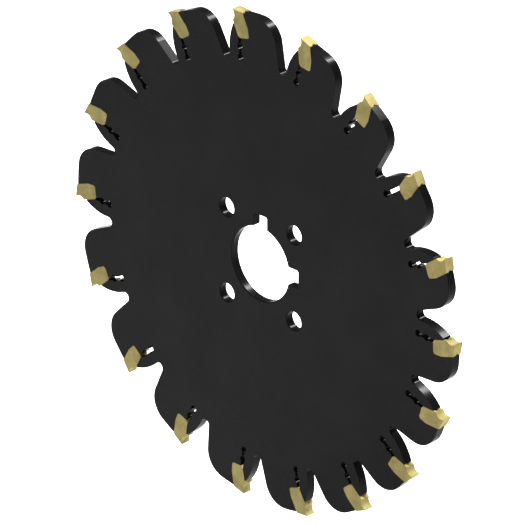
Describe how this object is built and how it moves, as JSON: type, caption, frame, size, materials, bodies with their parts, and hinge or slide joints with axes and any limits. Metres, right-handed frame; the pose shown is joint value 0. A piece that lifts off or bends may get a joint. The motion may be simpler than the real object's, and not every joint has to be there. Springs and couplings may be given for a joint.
{
  "type": "disc slotting cutter",
  "caption": "Thin steel slotting cutter disc with deep gullets, unevenly spaced teeth and spring-gripped gold-coated inserts, keyed bore and drive pin holes.",
  "frame": {"origin": "centre of the bore, halfway between the two faces of the disc", "axes": "+Y is the spin axis and points into the back of the disc, the front face looks along -Y, the keyways lie at +Z and +X"},
  "size_m": [0.2539, 0.0056, 0.2522],
  "materials": {
    "black_steel": "satin black oxide on hardened steel",
    "gold_carbide": "matt gold titanium nitride coating on carbide"
  },
  "bodies": {
    "cutter": {"cutter_body": "black_steel"},
    "insert 01": {"insert_01": "gold_carbide"},
    "insert 02": {"insert_02": "gold_carbide"},
    "insert 03": {"insert_03": "gold_carbide"},
    "insert 04": {"insert_04": "gold_carbide"},
    "insert 05": {"insert_05": "gold_carbide"},
    "insert 06": {"insert_06": "gold_carbide"},
    "insert 07": {"insert_07": "gold_carbide"},
    "insert 08": {"insert_08": "gold_carbide"},
    "insert 09": {"insert_09": "gold_carbide"},
    "insert 10": {"insert_10": "gold_carbide"},
    "insert 11": {"insert_11": "gold_carbide"},
    "insert 12": {"insert_12": "gold_carbide"},
    "insert 13": {"insert_13": "gold_carbide"},
    "insert 14": {"insert_14": "gold_carbide"},
    "insert 15": {"insert_15": "gold_carbide"},
    "insert 16": {"insert_16": "gold_carbide"},
    "insert 17": {"insert_17": "gold_carbide"},
    "insert 18": {"insert_18": "gold_carbide"}
  },
  "joints": [
    {"name": "insert 01 pull out", "type": "slide", "parent": "cutter", "child": "insert 01", "axis": [-0.7188, 0, 0.6952], "range_m": [0, 0.018]},
    {"name": "insert 02 pull out", "type": "slide", "parent": "cutter", "child": "insert 02", "axis": [-0.4264, 0, 0.9045], "range_m": [0, 0.018]},
    {"name": "insert 03 pull out", "type": "slide", "parent": "cutter", "child": "insert 03", "axis": [-0.0857, 0, 0.9963], "range_m": [0, 0.018]},
    {"name": "insert 04 pull out", "type": "slide", "parent": "cutter", "child": "insert 04", "axis": [0.2584, 0, 0.966], "range_m": [0, 0.018]},
    {"name": "insert 05 pull out", "type": "slide", "parent": "cutter", "child": "insert 05", "axis": [0.5657, 0, 0.8246], "range_m": [0, 0.018]},
    {"name": "insert 06 pull out", "type": "slide", "parent": "cutter", "child": "insert 06", "axis": [0.8045, 0, 0.5939], "range_m": [0, 0.018]},
    {"name": "insert 07 pull out", "type": "slide", "parent": "cutter", "child": "insert 07", "axis": [0.9534, 0, 0.3018], "range_m": [0, 0.018]},
    {"name": "insert 08 pull out", "type": "slide", "parent": "cutter", "child": "insert 08", "axis": [0.9998, 0, -0.0207], "range_m": [0, 0.018]},
    {"name": "insert 09 pull out", "type": "slide", "parent": "cutter", "child": "insert 09", "axis": [0.9398, 0, -0.3417], "range_m": [0, 0.018]},
    {"name": "insert 10 pull out", "type": "slide", "parent": "cutter", "child": "insert 10", "axis": [0.7776, 0, -0.6287], "range_m": [0, 0.018]},
    {"name": "insert 11 pull out", "type": "slide", "parent": "cutter", "child": "insert 11", "axis": [0.5264, 0, -0.8502], "range_m": [0, 0.018]},
    {"name": "insert 12 pull out", "type": "slide", "parent": "cutter", "child": "insert 12", "axis": [0.2094, 0, -0.9778], "range_m": [0, 0.018]},
    {"name": "insert 13 pull out", "type": "slide", "parent": "cutter", "child": "insert 13", "axis": [-0.1396, 0, -0.9902], "range_m": [0, 0.018]},
    {"name": "insert 14 pull out", "type": "slide", "parent": "cutter", "child": "insert 14", "axis": [-0.4779, 0, -0.8784], "range_m": [0, 0.018]},
    {"name": "insert 15 pull out", "type": "slide", "parent": "cutter", "child": "insert 15", "axis": [-0.7597, 0, -0.6503], "range_m": [0, 0.018]},
    {"name": "insert 16 pull out", "type": "slide", "parent": "cutter", "child": "insert 16", "axis": [-0.943, 0, -0.3327], "range_m": [0, 0.018]},
    {"name": "insert 17 pull out", "type": "slide", "parent": "cutter", "child": "insert 17", "axis": [-0.9995, 0, 0.0317], "range_m": [0, 0.018]},
    {"name": "insert 18 pull out", "type": "slide", "parent": "cutter", "child": "insert 18", "axis": [-0.9204, 0, 0.3911], "range_m": [0, 0.018]}
  ]
}
